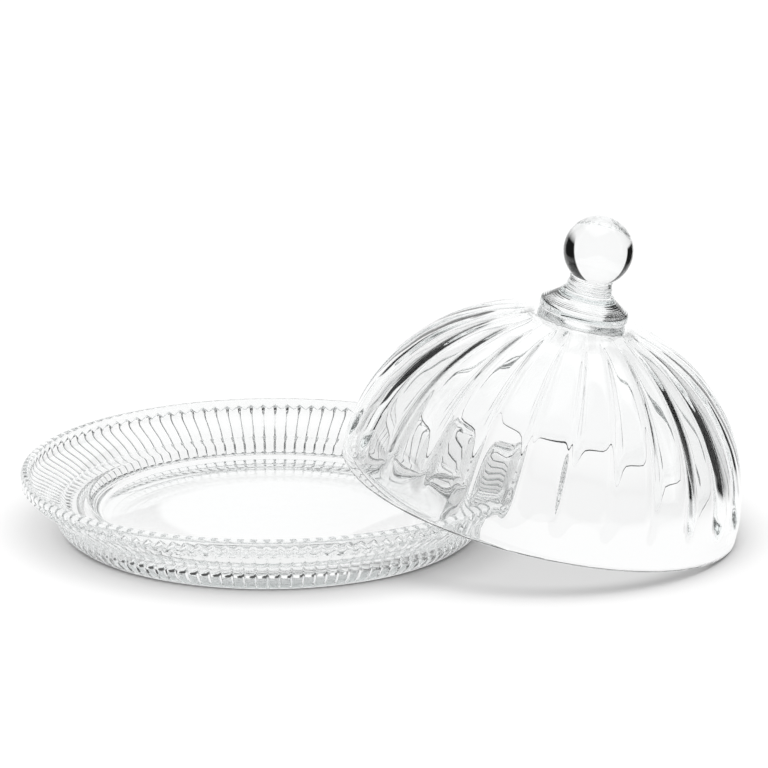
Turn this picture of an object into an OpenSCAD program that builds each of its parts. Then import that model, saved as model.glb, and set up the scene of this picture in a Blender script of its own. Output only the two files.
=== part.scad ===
// Cheese dome in clear glass: a pressed plate with a ribbed, flared rim, and a blown, fluted cover
// with a collar and a ball knob. Millimetres, +Z up; the origin is the plate's centre on the table.
// The cover is drawn parked towards +X: its rim stands on the table there and leans on the plate's rim.

/* [Plate] */
// Outside diameter of the plate's rim
plate_d = 300; // [290:2:310]
// Height of the plate's rim above the table
plate_h = 38; // [36:1:40]
// Height of the smooth band round the outside of the rim
lip_h = 7; // [5:0.5:8]
// Outside diameter of the ring the plate stands on
foot_d = 242; // [236:2:246]
// Outside diameter of the skirt where the flared rim starts
waist_d = 262; // [258:2:266]
// Height of the ledge the closed cover sits on
ledge_h = 20; // [19:0.5:21]
// Outside diameter of that ledge
ledge_d = 248; // [246:1:250]
// Diameter of the flat serving floor
floor_d = 210; // [190:5:212]
// Height of the serving floor
floor_h = 14; // [13:0.5:16]
// Glass thickness of the floor
floor_t = 10; // [8:0.5:10.5]

/* [Plate ribs] */
// Number of ribs round the plate
rib_count = 120; // [60:12:132]
// Width of the groove between two ribs
rib_gap = 1.4; // [0.8:0.1:2]
// Depth of that groove
rib_depth = 1.8; // [0.8:0.1:2]

/* [Cover] */
// Outside diameter of the cover's rim
cover_d = 240; // [236:1:242]
// Height of the crown above the cover's rim
crown_h = 115; // [110:1:118]
// Height of the nearly straight wall above the rim
wall_h = 8; // [4:1:14]
// Wall thickness of the cover
cover_t = 4.4; // [4:0.2:5]
// Number of flutes round the cover
flute_count = 26; // [16:1:30]
// Depth of the valleys between the flutes
flute_depth = 2.8; // [0.6:0.1:3]

/* [Collar and knob] */
// Diameter of the collar between crown and knob
collar_d = 53; // [50:1:56]
// Height of the collar
collar_h = 12.8; // [11.8:0.2:14]
// Diameter of the neck under the ball
neck_d = 27; // [24:0.5:29]
// Height of the neck, from the collar to the ball's underside
neck_h = 10; // [9:0.5:12]
// Diameter of the ball
ball_d = 41; // [38:0.5:44]

/* [Parked cover] */
// Angle round the cover's rim, from its table contact to where it crosses the plate's rim
lean_at = 119; // [114:0.5:124]

/* [Hidden] */

plate_r = plate_d / 2;
lip_round = 2.5;
lip_edge = 1.5;
lip_t = 5.1;
rim_round = cover_t / 2;
rest_gap = 0.3;
seat_r = collar_d / 2 - 1.5;

// The cover's wall is a slightly squared ellipse quarter above wall_h. It swells up by swell_h towards
// the flat seat under the collar, over a width of about swell_w.
cover_r = cover_d / 2;
squareness = 0.94;
swell_h = 2.6;
swell_w = 11;
seat_angle = acos(pow(seat_r / cover_r, 1 / squareness));
seat_h = wall_h + (crown_h - wall_h) * sin(seat_angle) + swell_h;
ball_z = seat_h + collar_h + neck_h + sqrt(pow(ball_d / 2, 2) - pow(neck_d / 2, 2));

// Lean: the rim's centre line stands rim_round above the table at one side, and passes rest_gap
// above the plate's rim at the angle lean_at.
rim_line_r = cover_r - rim_round;
lean = asin((plate_h + rest_gap) / (rim_line_r * (1 - cos(lean_at))));
rim_line_x = sqrt(pow(plate_r - lip_round, 2) - pow(rim_line_r * sin(lean_at), 2))
    - rim_line_r * cos(lean_at) * cos(lean);
park_x = rim_line_x - rim_round * sin(lean);
park_z = rim_line_r * sin(lean) + rim_round * (1 - cos(lean));

glass = [0.85, 0.91, 0.92, 0.45];

function arc(centre, r, from, to, steps) =
    [for (i = [0:steps]) let (a = from + (to - from) * i / steps) centre + r * [cos(a), sin(a)]];

function bezier(p, steps) =
    [for (i = [0:steps]) let (t = i / steps, u = 1 - t)
        u * u * u * p[0] + 3 * u * u * t * p[1] + 3 * u * t * t * p[2] + t * t * t * p[3]];

// Outside of the foot skirt and of the flared rim, moved into the glass by d.
function skirt_line(d) = bezier([
    [foot_d / 2 - d, 0],
    [waist_d / 2 - 3.5 - d, 3],
    [waist_d / 2 - 1.2 - d, 8],
    [waist_d / 2 - d, 13]], 5);

function flare_line(d) = bezier([
    [waist_d / 2 - d, 13],
    [waist_d / 2 + 0.7 - d, 18.5 + d / 2],
    [plate_r - 4 - d, plate_h - lip_h - 7 + d / 2],
    [plate_r - 1 - d, plate_h - lip_h - 0.8]], 8);

module plate_section() {
    ledge_r = ledge_d / 2;
    floor_r = floor_d / 2;
    polygon(concat(
        // underside, from the centre out to the foot ring
        [[0, floor_h - floor_t], [floor_r - 1, floor_h - floor_t]],
        [[floor_r + 5, ledge_h - floor_t - 0.5], [foot_d / 2 - 3, ledge_h - floor_t - 0.5]],
        [[foot_d / 2 - 4, 0.6], [foot_d / 2 - 3.4, 0]],
        // outside, up to the rim
        skirt_line(0),
        flare_line(0),
        [[plate_r, plate_h - lip_h]],
        arc([plate_r - lip_round, plate_h - lip_round], lip_round, 0, 90, 6),
        arc([plate_r - lip_t + lip_edge, plate_h - lip_edge], lip_edge, 90, 172, 4),
        // inside, down to the ledge, the step and the floor
        bezier([
            [plate_r - lip_t - 0.5, plate_h - 6],
            [plate_r - lip_t - 1.1, plate_h - 10],
            [ledge_r + 8, ledge_h + 6.5],
            [ledge_r + 1, ledge_h + 0.8]], 8),
        [[ledge_r, ledge_h], [floor_r + 4.5, ledge_h]],
        [[floor_r, floor_h + 0.4], [floor_r - 1, floor_h], [0, floor_h]]));
}

// One groove between two ribs: it runs up the skirt and the flare, and stops under the lip.
module rib_groove() {
    top_z = plate_h - lip_h - 1;
    rotate([90, 0, 0])
        linear_extrude(rib_gap, center = true)
            polygon(concat(
                [[foot_d / 2 - rib_depth, -1]],
                skirt_line(rib_depth),
                [for (p = flare_line(rib_depth)) [p[0], min(p[1], top_z)]],
                [[plate_r + 2, top_z], [plate_r + 2, -1]]));
}

// Pressed plate: flat floor, ledge for the cover, ribbed flared rim and a hollow foot skirt
module plate() {
    color(glass)
        difference() {
            rotate_extrude($fn = 180)
                plate_section();
            for (i = [0:rib_count - 1])
                rotate([0, 0, (i + 0.5) * 360 / rib_count])
                    rib_groove();
        }
}

// Places anything drawn in the cover's own frame, rim on z = 0, at its parked place.
module parked() {
    translate([park_x, 0, park_z])
        rotate([0, lean, 0])
            children();
}

// Share of the full flute depth, for u from 0 at the rim to 1 at the crown's seat
function flute_fade(u) = min(1, 9 * u) * min(1, 4 * max(0, 0.96 - u));

// One flute is a broad rib with a narrow valley: where its four columns stand, and how deep they are cut
flute_at = [0, 0.19, 0.5, 0.81];
flute_cut = [1, 0.2, 0, 0.2];

// Wall lines of the cover as [radius, height, flute depth], from the seat over the rim to the inside
function outer_wall(steps) =
    [for (i = [0:steps])
        let (u = 1 - i / steps, a = seat_angle * u)
        let (r = cover_r * pow(cos(a), squareness), swell = swell_h * exp(-pow((r - seat_r) / swell_w, 2)))
            [r, wall_h + (crown_h - wall_h) * sin(a) + swell, flute_depth * flute_fade(u)]];

function rim_edge(steps) =
    [for (i = [0:steps]) let (a = -180 * i / steps)
        [cover_r - rim_round + rim_round * cos(a), rim_round + rim_round * sin(a), 0]];

function inner_wall(steps) =
    [for (i = [0:steps - 1]) let (a = 90 * i / steps)
        [(cover_r - cover_t) * pow(cos(a), squareness), wall_h + (crown_h - cover_t - wall_h) * sin(a), 0]];

// Blown cover: an open bowl with rounded flutes that fade out at the rim and near the crown
module dome_shell() {
    rows = concat(outer_wall(14), rim_edge(4), inner_wall(11));
    columns = len(flute_at);
    around = columns * flute_count;
    last = len(rows) - 1;
    bottom = around * len(rows);
    ring_points = [for (row = rows, j = [0:around - 1])
        let (r = row[0] - row[2] * flute_cut[j % columns])
        let (a = 360 * (floor(j / columns) + flute_at[j % columns]) / flute_count)
            [r * cos(a), r * sin(a), row[1]]];
    walls = [for (i = [0:last - 1], j = [0:around - 1])
        let (k = (j + 1) % around, p = i * around, q = p + around)
            each [[p + j, q + j, q + k], [p + j, q + k, p + k]]];
    caps = [for (j = [0:around - 1])
        let (k = (j + 1) % around, q = last * around)
            each [[bottom, j, k], [bottom + 1, q + k, q + j]]];
    color(glass)
        parked()
            polyhedron(
                points = concat(ring_points, [[0, 0, seat_h], [0, 0, crown_h - cover_t]]),
                faces = [for (f = concat(walls, caps)) [f[2], f[1], f[0]]]);
}

// Collar: a disc with a rounded edge that draws in to the neck, fused to the crown
module knob_collar() {
    edge = 2.3;
    edge_r = collar_d / 2 - edge;
    top_r = neck_d / 2 + 1.7;
    color(glass)
        parked()
            translate([0, 0, seat_h])
                rotate_extrude($fn = 96)
                    polygon(concat(
                        [[0, 0], [edge_r + 0.4, 0]],
                        arc([edge_r, edge + 0.2], edge, -60, 62, 8),
                        bezier([
                            [edge_r, 2 * edge + 0.4],
                            [edge_r - 1.9, 2 * edge + 2],
                            [top_r + 3.3, collar_h - 3.4],
                            [top_r, collar_h]], 8),
                        [[0, collar_h]]));
}

// Knob: a ball on a short neck with two beads
module knob() {
    neck_r = neck_d / 2;
    color(glass)
        parked()
            union() {
                translate([0, 0, ball_z])
                    sphere(d = ball_d, $fn = 96);
                translate([0, 0, seat_h + collar_h])
                    rotate_extrude($fn = 96)
                        polygon(concat(
                            [[0, 0], [neck_r + 1.7, 0], [neck_r - 0.2, 1]],
                            arc([neck_r - 0.75, 2], 1, -60, 60, 4),
                            arc([neck_r - 1, 4], 1, -60, 60, 4),
                            [[neck_r - 0.8, 6.5], [neck_r - 0.4, neck_h - 1.6], [neck_r, neck_h]],
                            [[neck_r, neck_h + 1], [0, neck_h + 1]]));
            }
}

plate();
dome_shell();
knob_collar();
knob();
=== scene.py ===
"""Looks for the cheese dome: a pressed-glass plate and a blown, fluted glass cover with a ball knob."""

import math

import bpy
import numpy as np
from mathutils import Matrix, Vector


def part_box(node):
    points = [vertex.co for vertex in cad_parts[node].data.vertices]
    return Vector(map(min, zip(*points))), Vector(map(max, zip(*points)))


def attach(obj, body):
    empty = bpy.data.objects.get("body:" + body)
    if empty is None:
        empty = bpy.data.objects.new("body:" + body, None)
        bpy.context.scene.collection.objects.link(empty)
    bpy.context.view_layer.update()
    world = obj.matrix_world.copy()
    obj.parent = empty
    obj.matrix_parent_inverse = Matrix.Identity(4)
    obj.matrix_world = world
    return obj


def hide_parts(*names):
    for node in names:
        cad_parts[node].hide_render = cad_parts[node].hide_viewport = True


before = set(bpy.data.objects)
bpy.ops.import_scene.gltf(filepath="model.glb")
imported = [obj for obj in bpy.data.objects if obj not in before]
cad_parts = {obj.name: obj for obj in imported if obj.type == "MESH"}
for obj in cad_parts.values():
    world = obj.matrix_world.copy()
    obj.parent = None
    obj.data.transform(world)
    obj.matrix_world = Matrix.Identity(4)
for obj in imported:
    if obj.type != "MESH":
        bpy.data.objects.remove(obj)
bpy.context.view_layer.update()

MM = 0.001

# ---------------------------------------------------------------- sizes, in mm

plate_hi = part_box("plate")[1] / MM
dome_lo, dome_hi = (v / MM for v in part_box("dome_shell"))
knob_lo, knob_hi = (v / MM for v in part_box("knob"))
collar_lo, collar_hi = (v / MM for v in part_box("knob_collar"))

# Plate. A groove is cut RIB_DEPTH deep, and CREST_INSET is the share of it that even the crests stand back.
# SCALLOP is how far the lip's lower edge rises over a groove.
PLATE_R = 150.0
PLATE_H = plate_hi.z
LIP_H = 7.0
LIP_ROUND = 2.5
LIP_EDGE = 1.5
LIP_T = 5.1
FOOT_R = 121.0
WAIST_R = 131.0
LEDGE_H = 20.0
LEDGE_R = 124.0
FLOOR_R = 105.0
FLOOR_H = 14.0
FLOOR_T = 10.0
RIBS = 120
RIB_DEPTH = 1.8
GROOVE_WIDTH = 0.08
GROOVE_SHARE = 0.55
CREST_INSET = 0.12
SCALLOP = 3.0
SCALLOP_FROM = 27.5

# Cover. Each flute is a broad crest with a narrow valley, and the valleys are not all equally deep. The wall
# swells up to a pedestal for the collar.
COVER_R = (dome_hi.y - dome_lo.y) / 2
CROWN_H = 115.0
WALL_H = 8.0
FULLNESS = 0.94
COVER_T = 4.4
PEDESTAL_H = 2.6
PEDESTAL_IN = 1.3
PEDESTAL_W = 11.0
RIM_ROUND = COVER_T / 2
FLUTES = 26
FLUTE_TURN = math.radians(1.0)
VALLEY_DEPTH = 2.7
VALLEY_WIDTH = 0.125
VALLEY_FADE = 0.7
BROAD_DEPTH = 0.5
UNEVEN = 0.2
UNEVEN_PHASE = 3.9
WOBBLE = 0.15

# Collar and knob. Fine turned rings run over the collar's shoulder.
COLLAR_R = (collar_hi.y - collar_lo.y) / 2
COLLAR_H = 12.8
RING_DEPTH = 0.06
RING_PITCH = 1.35
NECK_R = 13.5
NECK_H = 10.0
BALL_R = (knob_hi.y - knob_lo.y) / 2
SEAT_R = COLLAR_R - 1.5

# Parked cover: the rim crosses the plate's rim at this angle from its table contact.
LEAN_AT = math.radians(119)
REST_GAP = 0.3

seat_angle = math.acos((SEAT_R / COVER_R) ** (1 / FULLNESS))
seat_h = WALL_H + (CROWN_H - WALL_H) * math.sin(seat_angle) + PEDESTAL_H
neck_base = seat_h + COLLAR_H
ball_z = neck_base + NECK_H + math.sqrt(BALL_R ** 2 - NECK_R ** 2)

rim_line_r = COVER_R - RIM_ROUND
lean = math.asin((PLATE_H + REST_GAP) / (rim_line_r * (1 - math.cos(LEAN_AT))))
rim_line_x = (math.sqrt((PLATE_R - LIP_ROUND) ** 2 - (rim_line_r * math.sin(LEAN_AT)) ** 2)
              - rim_line_r * math.cos(LEAN_AT) * math.cos(lean))
park = Vector((rim_line_x - RIM_ROUND * math.sin(lean), 0,
               rim_line_r * math.sin(lean) + RIM_ROUND * (1 - math.cos(lean))))
PARKED = Matrix.Translation(park * MM) @ Matrix.Rotation(lean, 4, "Y")


# ---------------------------------------------------------------- curves

def arc(centre, r, start, end, steps):
    """Points on an arc, angles in degrees."""
    a = np.radians(np.linspace(start, end, steps + 1))
    return np.c_[centre[0] + r * np.cos(a), centre[1] + r * np.sin(a)]


def bezier(points, steps):
    p = np.array(points, float)
    t = np.linspace(0, 1, steps + 1)[:, None]
    u = 1 - t
    return u ** 3 * p[0] + 3 * u * u * t * p[1] + 3 * u * t * t * p[2] + t ** 3 * p[3]


def smoothstep(x, low, high):
    t = np.clip((x - low) / (high - low), 0, 1)
    return t * t * (3 - 2 * t)


# ---------------------------------------------------------------- meshes

SHARP_ANGLE = math.radians(40)


def lathe(name, rows, radial=None, lift=None, angles=None, columns=192, fused_start=False, fused_end=False):
    """Closed solid turned about Z from rows of (radius, height), which start and end on the axis.

    radial(ring index, angles) and lift(ring index, angles) may return a change of radius and of height
    for each column. The disc at the start or at the end is fused where it is melted to another piece of
    glass; it gets the piece's second material."""
    rows = np.array(rows, float)
    if angles is None:
        angles = np.linspace(0, 2 * np.pi, columns, endpoint=False)
    n = len(angles)
    inner = rows[1:-1]
    rings = []
    for i, (r, z) in enumerate(inner):
        rr = r + (radial(i, angles) if radial else 0.0) * np.ones(n)
        zz = z + (lift(i, angles) if lift else 0.0) * np.ones(n)
        rings.append(np.c_[rr * np.cos(angles), rr * np.sin(angles), zz])
    verts = np.vstack(rings + [[[0, 0, rows[0][1]]], [[0, 0, rows[-1][1]]]]) * MM
    j = np.arange(n)
    k = (j + 1) % n
    quads = []
    for i in range(len(inner) - 1):
        p, q = i * n, (i + 1) * n
        quads.append(np.c_[p + j, p + k, q + k, q + j])
    faces = [tuple(f) for f in np.vstack(quads).tolist()]
    first, last = len(inner) * n, len(inner) * n + 1
    end = (len(inner) - 1) * n
    faces += [(first, int(b), int(a)) for a, b in zip(j, k)]
    faces += [(last, int(end + a), int(end + b)) for a, b in zip(j, k)]
    mesh = bpy.data.meshes.new(name)
    mesh.from_pydata(verts.tolist(), [], faces)
    mesh.polygons.foreach_set("use_smooth", [True] * len(mesh.polygons))
    mesh.update()
    mesh.set_sharp_from_angle(angle=SHARP_ANGLE)
    index = np.zeros(len(mesh.polygons), np.int32)
    index[-2 * n:-n] = fused_start
    index[-n:] = fused_end
    mesh.polygons.foreach_set("material_index", index)
    piece = bpy.data.objects.new(name, mesh)
    bpy.context.scene.collection.objects.link(piece)
    return piece


# ---------------------------------------------------------------- plate

def plate_rows():
    """Outline of the plate from the underside's centre round to the floor's centre.

    Each row is (radius, height, depth of the rib grooves, rise of the scalloped lip edge)."""
    def smooth(points):
        return [(r, z, 0.0, 0.0) for r, z in points]

    skirt = bezier([(FOOT_R, 0), (WAIST_R - 3.5, 3), (WAIST_R - 1.2, 8), (WAIST_R, 13)], 10)
    flare = bezier([(WAIST_R, 13), (WAIST_R + 0.7, 18.5),
                    (PLATE_R - 4, PLATE_H - LIP_H - 7), (PLATE_R - 1, PLATE_H - LIP_H - 0.8)], 24)
    flare = np.vstack([flare[:17:2], flare[17:]])
    inner = bezier([(PLATE_R - LIP_T - 0.5, PLATE_H - 6), (PLATE_R - LIP_T - 1.1, PLATE_H - 10),
                    (LEDGE_R + 8, LEDGE_H + 6.5), (LEDGE_R + 1, LEDGE_H + 0.8)], 12)
    under_z = LEDGE_H - FLOOR_T - 0.5
    rows = smooth([(0, FLOOR_H - FLOOR_T), (60, FLOOR_H - FLOOR_T), (FLOOR_R - 3, FLOOR_H - FLOOR_T)])
    rows += smooth(bezier([(FLOOR_R - 1, FLOOR_H - FLOOR_T), (FLOOR_R + 2, FLOOR_H - FLOOR_T + 0.4),
                           (FLOOR_R + 2.5, under_z - 0.4), (FLOOR_R + 5, under_z)], 5))
    rows += smooth([(FOOT_R - 5, under_z), (FOOT_R - 3.4, under_z - 1), (FOOT_R - 4, 0.8),
                    (FOOT_R - 3.5, 0.15), (FOOT_R - 3.0, 0.0)])
    depth = RIB_DEPTH * smoothstep(np.arange(11.0), 0.0, 3.0)
    rows += [(r, z, d, 0.0) for (r, z), d in zip(skirt, depth)]
    lip_edge = PLATE_H - LIP_H
    rise = SCALLOP * smoothstep(flare[:, 1], SCALLOP_FROM, lip_edge - 0.8)
    rows += [(r, z, RIB_DEPTH, up) for (r, z), up in zip(flare[1:], rise[1:])]
    rows += [(PLATE_R - 0.3, lip_edge - 0.4, 0.0, SCALLOP), (PLATE_R, lip_edge + 0.3, 0.0, SCALLOP)]
    rows += smooth(arc((PLATE_R - LIP_ROUND, PLATE_H - LIP_ROUND), LIP_ROUND, 0, 90, 7))
    rows += smooth(arc((PLATE_R - LIP_T + LIP_EDGE, PLATE_H - LIP_EDGE), LIP_EDGE, 90, 172, 5))
    rows += smooth(inner)
    rows += smooth([(LEDGE_R + 0.3, LEDGE_H + 0.25), (LEDGE_R - 0.8, LEDGE_H), (FLOOR_R + 6, LEDGE_H)])
    rows += smooth(bezier([(FLOOR_R + 5, LEDGE_H - 0.1), (FLOOR_R + 3, LEDGE_H - 0.8),
                           (FLOOR_R + 2, FLOOR_H + 0.8), (FLOOR_R - 1.5, FLOOR_H)], 6))
    rows += smooth([(60, FLOOR_H), (0, FLOOR_H)])
    return np.array(rows)


def make_plate():
    """Pressed plate. Its grooves stand where the CAD has them, half a rib off the X axis."""
    rows = plate_rows()
    depth, rise = rows[1:-1, 2], rows[1:-1, 3]
    angles, off = spread([0, 0.055, 0.11, 0.19, 0.32, 0.5], RIBS)
    angles += np.pi / RIBS
    wave = CREST_INSET + (1 - CREST_INSET) * groove(off, GROOVE_WIDTH, GROOVE_SHARE)

    def radial(i, at):
        return -depth[i] * wave

    def lift(i, at):
        return rise[i] * (1 - 2 * off)

    return lathe("plate_glass_piece", rows[:, :2], radial, lift, angles)


# ---------------------------------------------------------------- cover

def spread(half, count):
    """Angles round a ring of count repeats, with samples at the phases in half and their mirror images."""
    phases = np.array(half + [1 - p for p in reversed(half[1:-1])])
    angles = 2 * np.pi * (np.arange(count)[:, None] + phases[None, :]).ravel() / count
    off = np.tile(np.minimum(phases, 1 - phases), count)
    return angles, off


def groove(off, width, share):
    """Depth under the crest line, 0 to 1: broad crowned ribs with a narrow valley at off = 0."""
    return share * np.exp(-(off / width) ** 2) + (1 - share) * (1 - 2 * off) ** 2


def ripple(a, u, seed):
    """Slow unevenness of hand-blown glass, about -1 to 1."""
    return (0.5 * np.sin(3 * a + 5 * u + seed) + 0.3 * np.sin(7 * a - 9 * u + 2 * seed)
            + 0.2 * np.sin(11 * a + 17 * u + 3 * seed))


def wall(u, inset):
    """Radius and height of the cover's wall, inset from the outside; u is 0 at the rim, 1 on the axis."""
    a = np.pi / 2 * u
    r = (COVER_R - inset) * np.cos(a) ** FULLNESS
    return r, WALL_H + (CROWN_H - inset - WALL_H) * np.sin(a)


def make_dome():
    """Blown cover, rim down: inner wall, rim, and the fluted outer wall up to the collar's seat."""
    outer_steps, rim_steps, inner_steps = 76, 8, 64
    u_in = np.linspace(1, 0, inner_steps + 1)[1:]
    inner = np.c_[wall(u_in, COVER_T)]
    inner[:, 1] += PEDESTAL_IN * np.exp(-(np.maximum(inner[:, 0] - SEAT_R, 0) / PEDESTAL_W) ** 2)
    rim = arc((COVER_R - RIM_ROUND, RIM_ROUND), RIM_ROUND, -180, 0, rim_steps)
    u_out = np.linspace(0, seat_angle / (np.pi / 2), outer_steps + 1)
    r, z = wall(u_out, 0.0)
    z = z + PEDESTAL_H * np.exp(-((r - SEAT_R) / PEDESTAL_W) ** 2)
    outer = np.c_[r, z]
    outer[-1] = (SEAT_R, seat_h)
    rows = np.vstack([[(0, CROWN_H - COVER_T + PEDESTAL_IN)], inner, rim, outer, [(0, seat_h)]])
    seat_u = u_out[-1]
    near_rim = smoothstep(u_out, 0.03, 0.12)
    plain = np.zeros(len(inner) + len(rim))
    valley = VALLEY_DEPTH * np.r_[plain, near_rim * (1 - smoothstep(u_out / seat_u, VALLEY_FADE, 0.96))]
    broad_fade = near_rim * (1 - smoothstep(u_out / seat_u, 0.8, 1.0)) * r / COVER_R
    broad_cut = BROAD_DEPTH * np.r_[plain, broad_fade]
    wobble = np.r_[smoothstep(u_in, 0, 0.12) * (1 - smoothstep(u_in, 0.8, 0.98)), np.zeros(len(rim)),
                   smoothstep(u_out, 0, 0.1) * (1 - smoothstep(u_out, 0.7, 0.9))]
    u_all = np.r_[u_in, np.zeros(len(rim)), u_out]
    angles, off = spread([0, 0.02, 0.04, 0.06, 0.08, 0.1, 0.13, 0.16, 0.21, 0.28, 0.38, 0.5], FLUTES)
    flute = np.round(angles * FLUTES / (2 * np.pi)) * 2 * np.pi / FLUTES
    sharp = (1 - UNEVEN + UNEVEN * np.sin(5 * flute + UNEVEN_PHASE)) * np.exp(-(off / VALLEY_WIDTH) ** 2)
    broad = 0.5 + 0.5 * np.cos(2 * np.pi * off)
    angles += FLUTE_TURN

    def radial(i, at):
        seed = 4.1 if i < len(inner) else 0.7
        return (-valley[i] * sharp - broad_cut[i] * broad
                - WOBBLE * wobble[i] * (1 + ripple(at, u_all[i] * 3, seed)))

    return lathe("dome_glass_piece", rows, radial, angles=angles, fused_end=True)


def collar_rows():
    """Outline of the collar: a small round lower edge, a full shoulder with turned rings, then the neck."""
    rows = [(0, 0), (COLLAR_R - 1.2, 0)]
    rows += list(map(tuple, arc((COLLAR_R - 0.9, 1.0), 0.9, -80, 0, 8)))
    shoulder = np.vstack([arc((COLLAR_R - 3.0, 2.8), 3.0, 0, 55, 16),
                          bezier([(COLLAR_R - 1.6, 5.5), (COLLAR_R - 5.0, 7.4),
                                  (NECK_R + 4.0, 9.4), (NECK_R + 1.7, COLLAR_H)], 52)])
    travel = np.r_[0, np.cumsum(np.hypot(*np.diff(shoulder, axis=0).T))]
    marks = smoothstep(travel, 0.5, 2.5) * smoothstep(-travel, -travel[-1], 1.5 - travel[-1])
    shoulder[:, 1] += RING_DEPTH * marks * np.sin(2 * np.pi * travel / RING_PITCH)
    rows += list(map(tuple, shoulder))
    rows += [(0, COLLAR_H)]
    return np.array(rows) + [0, seat_h]


def make_collar():
    return lathe("collar_glass_piece", collar_rows(), fused_start=True, fused_end=True)


def knob_rows():
    """Outline of the knob: the neck's foot, two beads, the neck and the ball."""
    rows = [(0, 0), (NECK_R + 1.7, 0)]
    rows += list(map(tuple, bezier([(NECK_R + 1.3, 0.15), (NECK_R + 0.4, 0.3), (NECK_R - 0.2, 0.6),
                                    (NECK_R - 0.2, 1.0)], 4)))
    rows += list(map(tuple, arc((NECK_R - 0.75, 2.0), 1.0, -60, 60, 8)))
    rows += list(map(tuple, arc((NECK_R - 1.0, 4.0), 1.0, -60, 60, 8)))
    rows += list(map(tuple, bezier([(NECK_R - 0.6, 5.2), (NECK_R - 0.8, 6.0), (NECK_R - 0.8, 7.2),
                                    (NECK_R - 0.6, NECK_H - 1.6)], 5)))
    base = math.degrees(math.asin(-(ball_z - neck_base - NECK_H + 1.0) / BALL_R))
    rows += list(map(tuple, arc((0, ball_z - neck_base), BALL_R, base, 90, 70)))
    rows[-1] = (0, ball_z - neck_base + BALL_R)
    return np.array(rows) + [0, neck_base]


def make_knob():
    return lathe("knob_glass_piece", knob_rows(), fused_start=True)


# ---------------------------------------------------------------- materials

GLASS_INDEX = 1.5
THICK_TINT = (0.99, 0.993, 0.993)
THIN_TINT = (0.995, 0.997, 0.997)
BUMP_DISTANCE = 0.0006
EDGE_FROM = 0.45
EDGE_SHADE = 0.1
CONTACT_H = 0.004
CONTACT_SHADE = 0.15


def node(tree, kind, **inputs):
    made = tree.nodes.new(kind)
    for key, value in inputs.items():
        made.inputs[key.replace("_", " ")].default_value = value
    return made


class Nodes:
    """Small helper for arithmetic in a node tree."""

    def __init__(self, tree):
        self.tree = tree

    def __call__(self, operation, a, b=None, clamp=False):
        made = self.tree.nodes.new("ShaderNodeMath")
        made.operation = operation
        made.use_clamp = clamp
        for socket, value in zip(made.inputs, (a, b)):
            if isinstance(value, (int, float)):
                socket.default_value = value
            elif value is not None:
                self.tree.links.new(value, socket)
        return made.outputs["Value"]

    def above(self, value, low, soft):
        """0 below low, rising to 1 over the width soft."""
        return self("DIVIDE", self("SUBTRACT", value, low), soft, clamp=True)

    def below(self, value, high, soft):
        """1 well below high, falling to 0 at it over the width soft."""
        return self("DIVIDE", self("SUBTRACT", high, value), soft, clamp=True)

    def blend(self, low, high, share):
        """low where share is 0, high where it is 1."""
        rest = self("SUBTRACT", 1.0, share)
        return self("ADD", self("MULTIPLY", low, rest), self("MULTIPLY", high, share))

    def past_flag_edge(self, turn):
        """1 for a direction that is turned further from the view axis than the near edge of a flag."""
        return self("ADD", self.above(turn, FLAG_RIGHT, FLAG_SOFT), self.below(turn, -FLAG_LEFT, FLAG_SOFT))

    def in_camera_space(self, vector, kind):
        """X, Y and Z of a point or a direction as the camera has them, with Z ahead of it."""
        convert = self.tree.nodes.new("ShaderNodeVectorTransform")
        convert.vector_type = kind
        convert.convert_from = "WORLD"
        convert.convert_to = "CAMERA"
        parts = self.tree.nodes.new("ShaderNodeSeparateXYZ")
        self.tree.links.new(vector, convert.inputs["Vector"])
        self.tree.links.new(convert.outputs["Vector"], parts.inputs["Vector"])
        return parts.outputs


def shadow_colour(tree, shade):
    """Share of the light that reaches the table through the glass: shade where the glass is seen face on,
    less at its edges and close to the table."""
    facing = node(tree, "ShaderNodeLayerWeight", Blend=0.5)
    edges = node(tree, "ShaderNodeMapRange", From_Min=EDGE_FROM, To_Min=shade, To_Max=EDGE_SHADE)
    point = tree.nodes.new("ShaderNodeNewGeometry")
    height = tree.nodes.new("ShaderNodeSeparateXYZ")
    low = node(tree, "ShaderNodeMapRange", From_Max=CONTACT_H, To_Min=CONTACT_SHADE)
    tree.links.new(facing.outputs["Facing"], edges.inputs["Value"])
    tree.links.new(point.outputs["Position"], height.inputs["Vector"])
    tree.links.new(height.outputs["Z"], low.inputs["Value"])
    return Nodes(tree)("MULTIPLY", edges.outputs["Result"], low.outputs["Result"])


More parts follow.
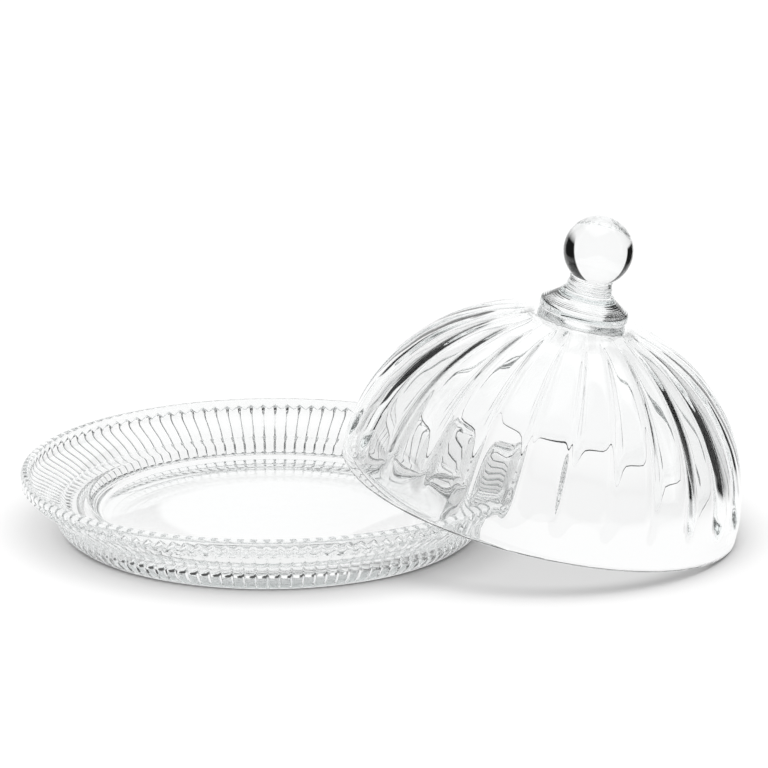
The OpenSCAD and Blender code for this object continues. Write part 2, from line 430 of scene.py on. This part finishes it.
def glass_material(name, tint, shade, waviness, wave_scale):
    """Clear glass with faint surface waves. For shadows, and for light that the table scatters, it is a
    clear pane that only dims."""
    material = bpy.data.materials.new(name)
    material.use_nodes = True
    tree = material.node_tree
    tree.nodes.clear()
    link = tree.links.new
    coords = tree.nodes.new("ShaderNodeTexCoord")
    noise = node(tree, "ShaderNodeTexNoise", Scale=wave_scale, Detail=1.5, Roughness=0.4)
    bump = node(tree, "ShaderNodeBump", Strength=waviness, Distance=BUMP_DISTANCE)
    glass = node(tree, "ShaderNodeBsdfGlass", Color=(*tint, 1), Roughness=0.0, IOR=GLASS_INDEX)
    clear = tree.nodes.new("ShaderNodeBsdfTransparent")
    path = tree.nodes.new("ShaderNodeLightPath").outputs
    mix = tree.nodes.new("ShaderNodeMixShader")
    output = tree.nodes.new("ShaderNodeOutputMaterial")
    link(coords.outputs["Object"], noise.inputs["Vector"])
    link(noise.outputs["Fac"], bump.inputs["Height"])
    link(bump.outputs["Normal"], glass.inputs["Normal"])
    link(shadow_colour(tree, shade), clear.inputs["Color"])
    link(Nodes(tree)("MAXIMUM", path["Is Shadow Ray"], path["Is Diffuse Ray"]), mix.inputs["Fac"])
    link(glass.outputs["BSDF"], mix.inputs[1])
    link(clear.outputs["BSDF"], mix.inputs[2])
    link(mix.outputs["Shader"], output.inputs["Surface"])
    return material


def fused_material():
    """The place where two pieces of glass are melted into one: nothing bends or reflects there."""
    material = bpy.data.materials.new("fused_glass")
    material.use_nodes = True
    tree = material.node_tree
    tree.nodes.clear()
    clear = tree.nodes.new("ShaderNodeBsdfTransparent")
    output = tree.nodes.new("ShaderNodeOutputMaterial")
    tree.links.new(clear.outputs["BSDF"], output.inputs["Surface"])
    return material


# ---------------------------------------------------------------- stage

# Angles are measured from the view axis. Heights are the upward part of a unit direction.
FLOOR_SIZE = 40.0
FLOOR_GREY = 0.8
WHITE = 1.04
# Share of a painted white glow that the floor gets where the glass sees it
FLOOR_PAINTED_GLOW = 0.86
FILL = 0.3
LAMP_POWER = 3.3
LAMP_ANGLE = math.radians(65)
LAMP_TILT = (math.radians(12), math.radians(6), 0)

# Flags left and right of the object
FLAG_RIGHT = math.radians(34)
FLAG_LEFT = math.radians(40)
FLAG_TO = math.radians(100)
FLAG_SOFT = 0.04
FLAG_TOP = 0.75
FLAG_TOP_LEFT = 0.85
FLAG_TOP_SOFT = 0.05
FLAG_BLACK = 0.008
LEFT_SOFT = 0.1

# On the table the painted dark flags begin this far from the view axis, in metres; the floor is painted dark
# there only where the glass sees it.
FLAG_X = 0.3
FLAG_X_SOFT = 0.14

# Dark panel round the back. It starts behind the left flag and ends at PANEL_RIGHT for light that has gone
# through both walls of the cover, or already at PANEL_LEFT, left of the view axis, after three bounces.
# TWO_WALLS is a number of transmissions. The world reads one more than the bounces that light has made.
PANEL_BEHIND_FLAG = 0.1
PANEL_SOFT = 0.05
PANEL_RIGHT = math.radians(24)
PANEL_LEFT = math.radians(7)
PANEL_FROM = 0.17
PANEL_FROM_SOFT = 0.04
TWO_WALLS = 2.5
THREE_BOUNCES = 3.0
DEPTH_SOFT = 1.0

# Dim room behind the camera, and the ceiling
ROOM_FROM = math.radians(100)
ROOM_SOFT = 0.15
ROOM_LIGHT = 0.04
ROOM_TOP = 1.2
ROOM_TOP_SOFT = 0.1
CEILING_FROM = 0.9
CEILING_SOFT = 0.04
CEILING_LIGHT = 0.6

# Camera
CAMERA_AZIMUTH = math.radians(6.94)
CAMERA_ELEVATION = math.radians(15.53)
CAMERA_DISTANCE = 2.4
CAMERA_TARGET = Vector((0.0655, 0.0219, 0.0846))
LENS = 187.5
SENSOR = 36


def floor_material():
    """Pale grey. Seen in the glass it gets a painted white glow, and is painted dark where the flags stand
    left and right.
    """
    material = bpy.data.materials.new("pale_floor")
    material.use_nodes = True
    tree = material.node_tree
    tree.nodes.clear()
    maths = Nodes(tree)
    point = tree.nodes.new("ShaderNodeNewGeometry").outputs
    across = maths("ABSOLUTE", maths.in_camera_space(point["Position"], "POINT")["X"])
    back = maths.in_camera_space(point["Incoming"], "VECTOR")
    turn = maths("ARCTAN2", maths("MULTIPLY", back["X"], -1.0), maths("MULTIPLY", back["Z"], -1.0))
    path = tree.nodes.new("ShaderNodeLightPath").outputs
    in_glass = maths("MAXIMUM", path["Is Transmission Ray"], path["Is Glossy Ray"])
    # Painted dark where the flags stand, seen only through the glass
    dark = maths("MULTIPLY", maths.above(across, FLAG_X, FLAG_X_SOFT), in_glass)
    dark = maths("MULTIPLY", dark, maths.past_flag_edge(turn))
    pale = node(tree, "ShaderNodeBsdfDiffuse", Color=(FLOOR_GREY, FLOOR_GREY, FLOOR_GREY, 1))
    # Painted white glow for the floor as the glass sees it
    white = node(tree, "ShaderNodeEmission", Color=(1, 1, 1, 1), Strength=WHITE)
    # Painted dark for the flags, as the glass sees the floor
    painted_flag_dark = node(tree, "ShaderNodeEmission", Color=(1, 1, 1, 1), Strength=FLAG_BLACK)
    painted_glow = tree.nodes.new("ShaderNodeMixShader")
    mix = tree.nodes.new("ShaderNodeMixShader")
    output = tree.nodes.new("ShaderNodeOutputMaterial")
    tree.links.new(maths("MULTIPLY", in_glass, FLOOR_PAINTED_GLOW), painted_glow.inputs["Fac"])
    tree.links.new(pale.outputs["BSDF"], painted_glow.inputs[1])
    tree.links.new(white.outputs["Emission"], painted_glow.inputs[2])
    tree.links.new(dark, mix.inputs["Fac"])
    tree.links.new(painted_glow.outputs["Shader"], mix.inputs[1])
    tree.links.new(painted_flag_dark.outputs["Emission"], mix.inputs[2])
    tree.links.new(mix.outputs["Shader"], output.inputs["Surface"])
    return material


def make_floor():
    mesh = bpy.data.meshes.new("floor")
    half = FLOOR_SIZE / 2
    corners = [(-half, -half, 0), (half, -half, 0), (half, half, 0), (-half, half, 0)]
    mesh.from_pydata(corners, [], [(0, 1, 2, 3)])
    mesh.materials.append(floor_material())
    floor = bpy.data.objects.new("floor", mesh)
    bpy.context.scene.collection.objects.link(floor)


def flag_share(maths, seen, turn, height):
    """1 for directions that end on one of the two flags; the left one is a little taller."""
    short_of_end = maths.below(maths("ABSOLUTE", turn), FLAG_TO, FLAG_SOFT)
    flags = maths("MULTIPLY", maths.past_flag_edge(turn), short_of_end)
    on_left = maths.below(seen["X"], 0.0, LEFT_SOFT)
    top = maths.blend(maths.below(height, FLAG_TOP, FLAG_TOP_SOFT),
                      maths.below(height, FLAG_TOP_LEFT, FLAG_TOP_SOFT), on_left)
    return maths("MULTIPLY", flags, top)


def panel_share(maths, path, turn, height):
    """1 for directions that end on the dark panel, for the light paths that see it."""
    panel = maths("MULTIPLY", maths.above(turn, -FLAG_LEFT - PANEL_BEHIND_FLAG, PANEL_SOFT),
                  maths.above(height, PANEL_FROM, PANEL_FROM_SOFT))
    panel = maths("MULTIPLY", panel, maths.below(height, FLAG_TOP_LEFT, FLAG_TOP_SOFT))
    through = maths("MULTIPLY", maths.above(path["Transmission Depth"], TWO_WALLS, DEPTH_SOFT),
                    maths.below(turn, PANEL_RIGHT, PANEL_SOFT))
    inside = maths("MULTIPLY", maths.above(path["Ray Depth"], THREE_BOUNCES, DEPTH_SOFT),
                   maths.below(turn, -PANEL_LEFT, PANEL_SOFT))
    return maths("MULTIPLY", panel, maths("MAXIMUM", through, inside))


def room_share(maths, turn, height):
    """1 for directions that end in the dim room behind the camera."""
    behind = maths.above(maths("ABSOLUTE", turn), ROOM_FROM, ROOM_SOFT)
    return maths("MULTIPLY", behind, maths.below(height, ROOM_TOP, ROOM_TOP_SOFT))


def make_world():
    """White backdrop, as the camera sees it. The glass also sees the ceiling, the flags, the dark panel
    and the dim room. Everything else is lit by an even fill."""
    world = bpy.data.worlds.new("studio")
    bpy.context.scene.world = world
    world.use_nodes = True
    tree = world.node_tree
    tree.nodes.clear()
    maths = Nodes(tree)
    coords = tree.nodes.new("ShaderNodeTexCoord")
    seen = maths.in_camera_space(coords.outputs["Generated"], "VECTOR")
    up = tree.nodes.new("ShaderNodeSeparateXYZ")
    tree.links.new(coords.outputs["Generated"], up.inputs["Vector"])
    height = up.outputs["Z"]
    turn = maths("ARCTAN2", seen["X"], seen["Z"])
    path = tree.nodes.new("ShaderNodeLightPath").outputs
    dark = maths("MAXIMUM", flag_share(maths, seen, turn, height), panel_share(maths, path, turn, height))
    bright = maths.blend(WHITE, FLAG_BLACK, dark)
    bright = maths.blend(bright, ROOM_LIGHT, room_share(maths, turn, height))
    bright = maths.blend(bright, CEILING_LIGHT, maths.above(height, CEILING_FROM, CEILING_SOFT))
    in_glass = maths("MAXIMUM", path["Is Transmission Ray"], path["Is Glossy Ray"])
    bright = maths.blend(FILL, bright, in_glass)
    bright = maths.blend(bright, WHITE, path["Is Camera Ray"])
    background = node(tree, "ShaderNodeBackground", Color=(1, 1, 1, 1))
    tree.links.new(bright, background.inputs["Strength"])
    output = tree.nodes.new("ShaderNodeOutputWorld")
    tree.links.new(background.outputs["Background"], output.inputs["Surface"])


def make_lamp():
    """A very wide soft light from above. It is not mirrored in the glass."""
    lamp = bpy.data.lights.new("soft_light", "SUN")
    lamp.angle = LAMP_ANGLE
    lamp.energy = LAMP_POWER
    sky = bpy.data.objects.new("soft_light", lamp)
    sky.rotation_euler = LAMP_TILT
    sky.visible_glossy = False
    sky.visible_transmission = False
    bpy.context.scene.collection.objects.link(sky)


def make_camera():
    """Long lens, a little to the right of the front and about fifteen degrees up."""
    level = math.cos(CAMERA_ELEVATION)
    back = Vector((math.sin(CAMERA_AZIMUTH) * level, -math.cos(CAMERA_AZIMUTH) * level,
                   math.sin(CAMERA_ELEVATION)))
    data = bpy.data.cameras.new("camera")
    data.lens = LENS
    data.sensor_width = SENSOR
    data.clip_start = 0.1
    data.clip_end = 100
    camera = bpy.data.objects.new("camera", data)
    camera.location = CAMERA_TARGET + back * CAMERA_DISTANCE
    camera.rotation_mode = "QUATERNION"
    camera.rotation_quaternion = (-back).to_track_quat("-Z", "Y")
    bpy.context.scene.collection.objects.link(camera)
    bpy.context.scene.camera = camera


# ---------------------------------------------------------------- assembly

fused = fused_material()


def place(piece, material, body, cad_node, parked=False):
    """Gives a piece its materials and body, and hides its CAD node; a parked piece is moved from its own
    frame.
    """
    if parked:
        piece.data.transform(PARKED)
    piece.data.materials.append(material)
    piece.data.materials.append(fused)
    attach(piece, body)
    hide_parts(cad_node)


pressed = glass_material("pressed_glass", THICK_TINT, shade=0.84, waviness=0.06, wave_scale=60)
blown = glass_material("blown_glass", THIN_TINT, shade=0.82, waviness=0.05, wave_scale=40)
solid = glass_material("solid_glass", THICK_TINT, shade=0.9, waviness=0.02, wave_scale=60)
place(make_plate(), pressed, "plate", "plate")
place(make_dome(), blown, "cover", "dome_shell", parked=True)
place(make_collar(), solid, "cover", "knob_collar", parked=True)
place(make_knob(), solid, "cover", "knob", parked=True)

make_floor()
make_world()
make_lamp()
make_camera()

# Light crosses many glass surfaces before it leaves, so paths have to be long.
scene = bpy.context.scene
scene.view_settings.view_transform = "Standard"
scene.cycles.max_bounces = 48
scene.cycles.transmission_bounces = 48
scene.cycles.glossy_bounces = 32
scene.cycles.transparent_max_bounces = 32
scene.cycles.caustics_reflective = True
scene.cycles.caustics_refractive = True
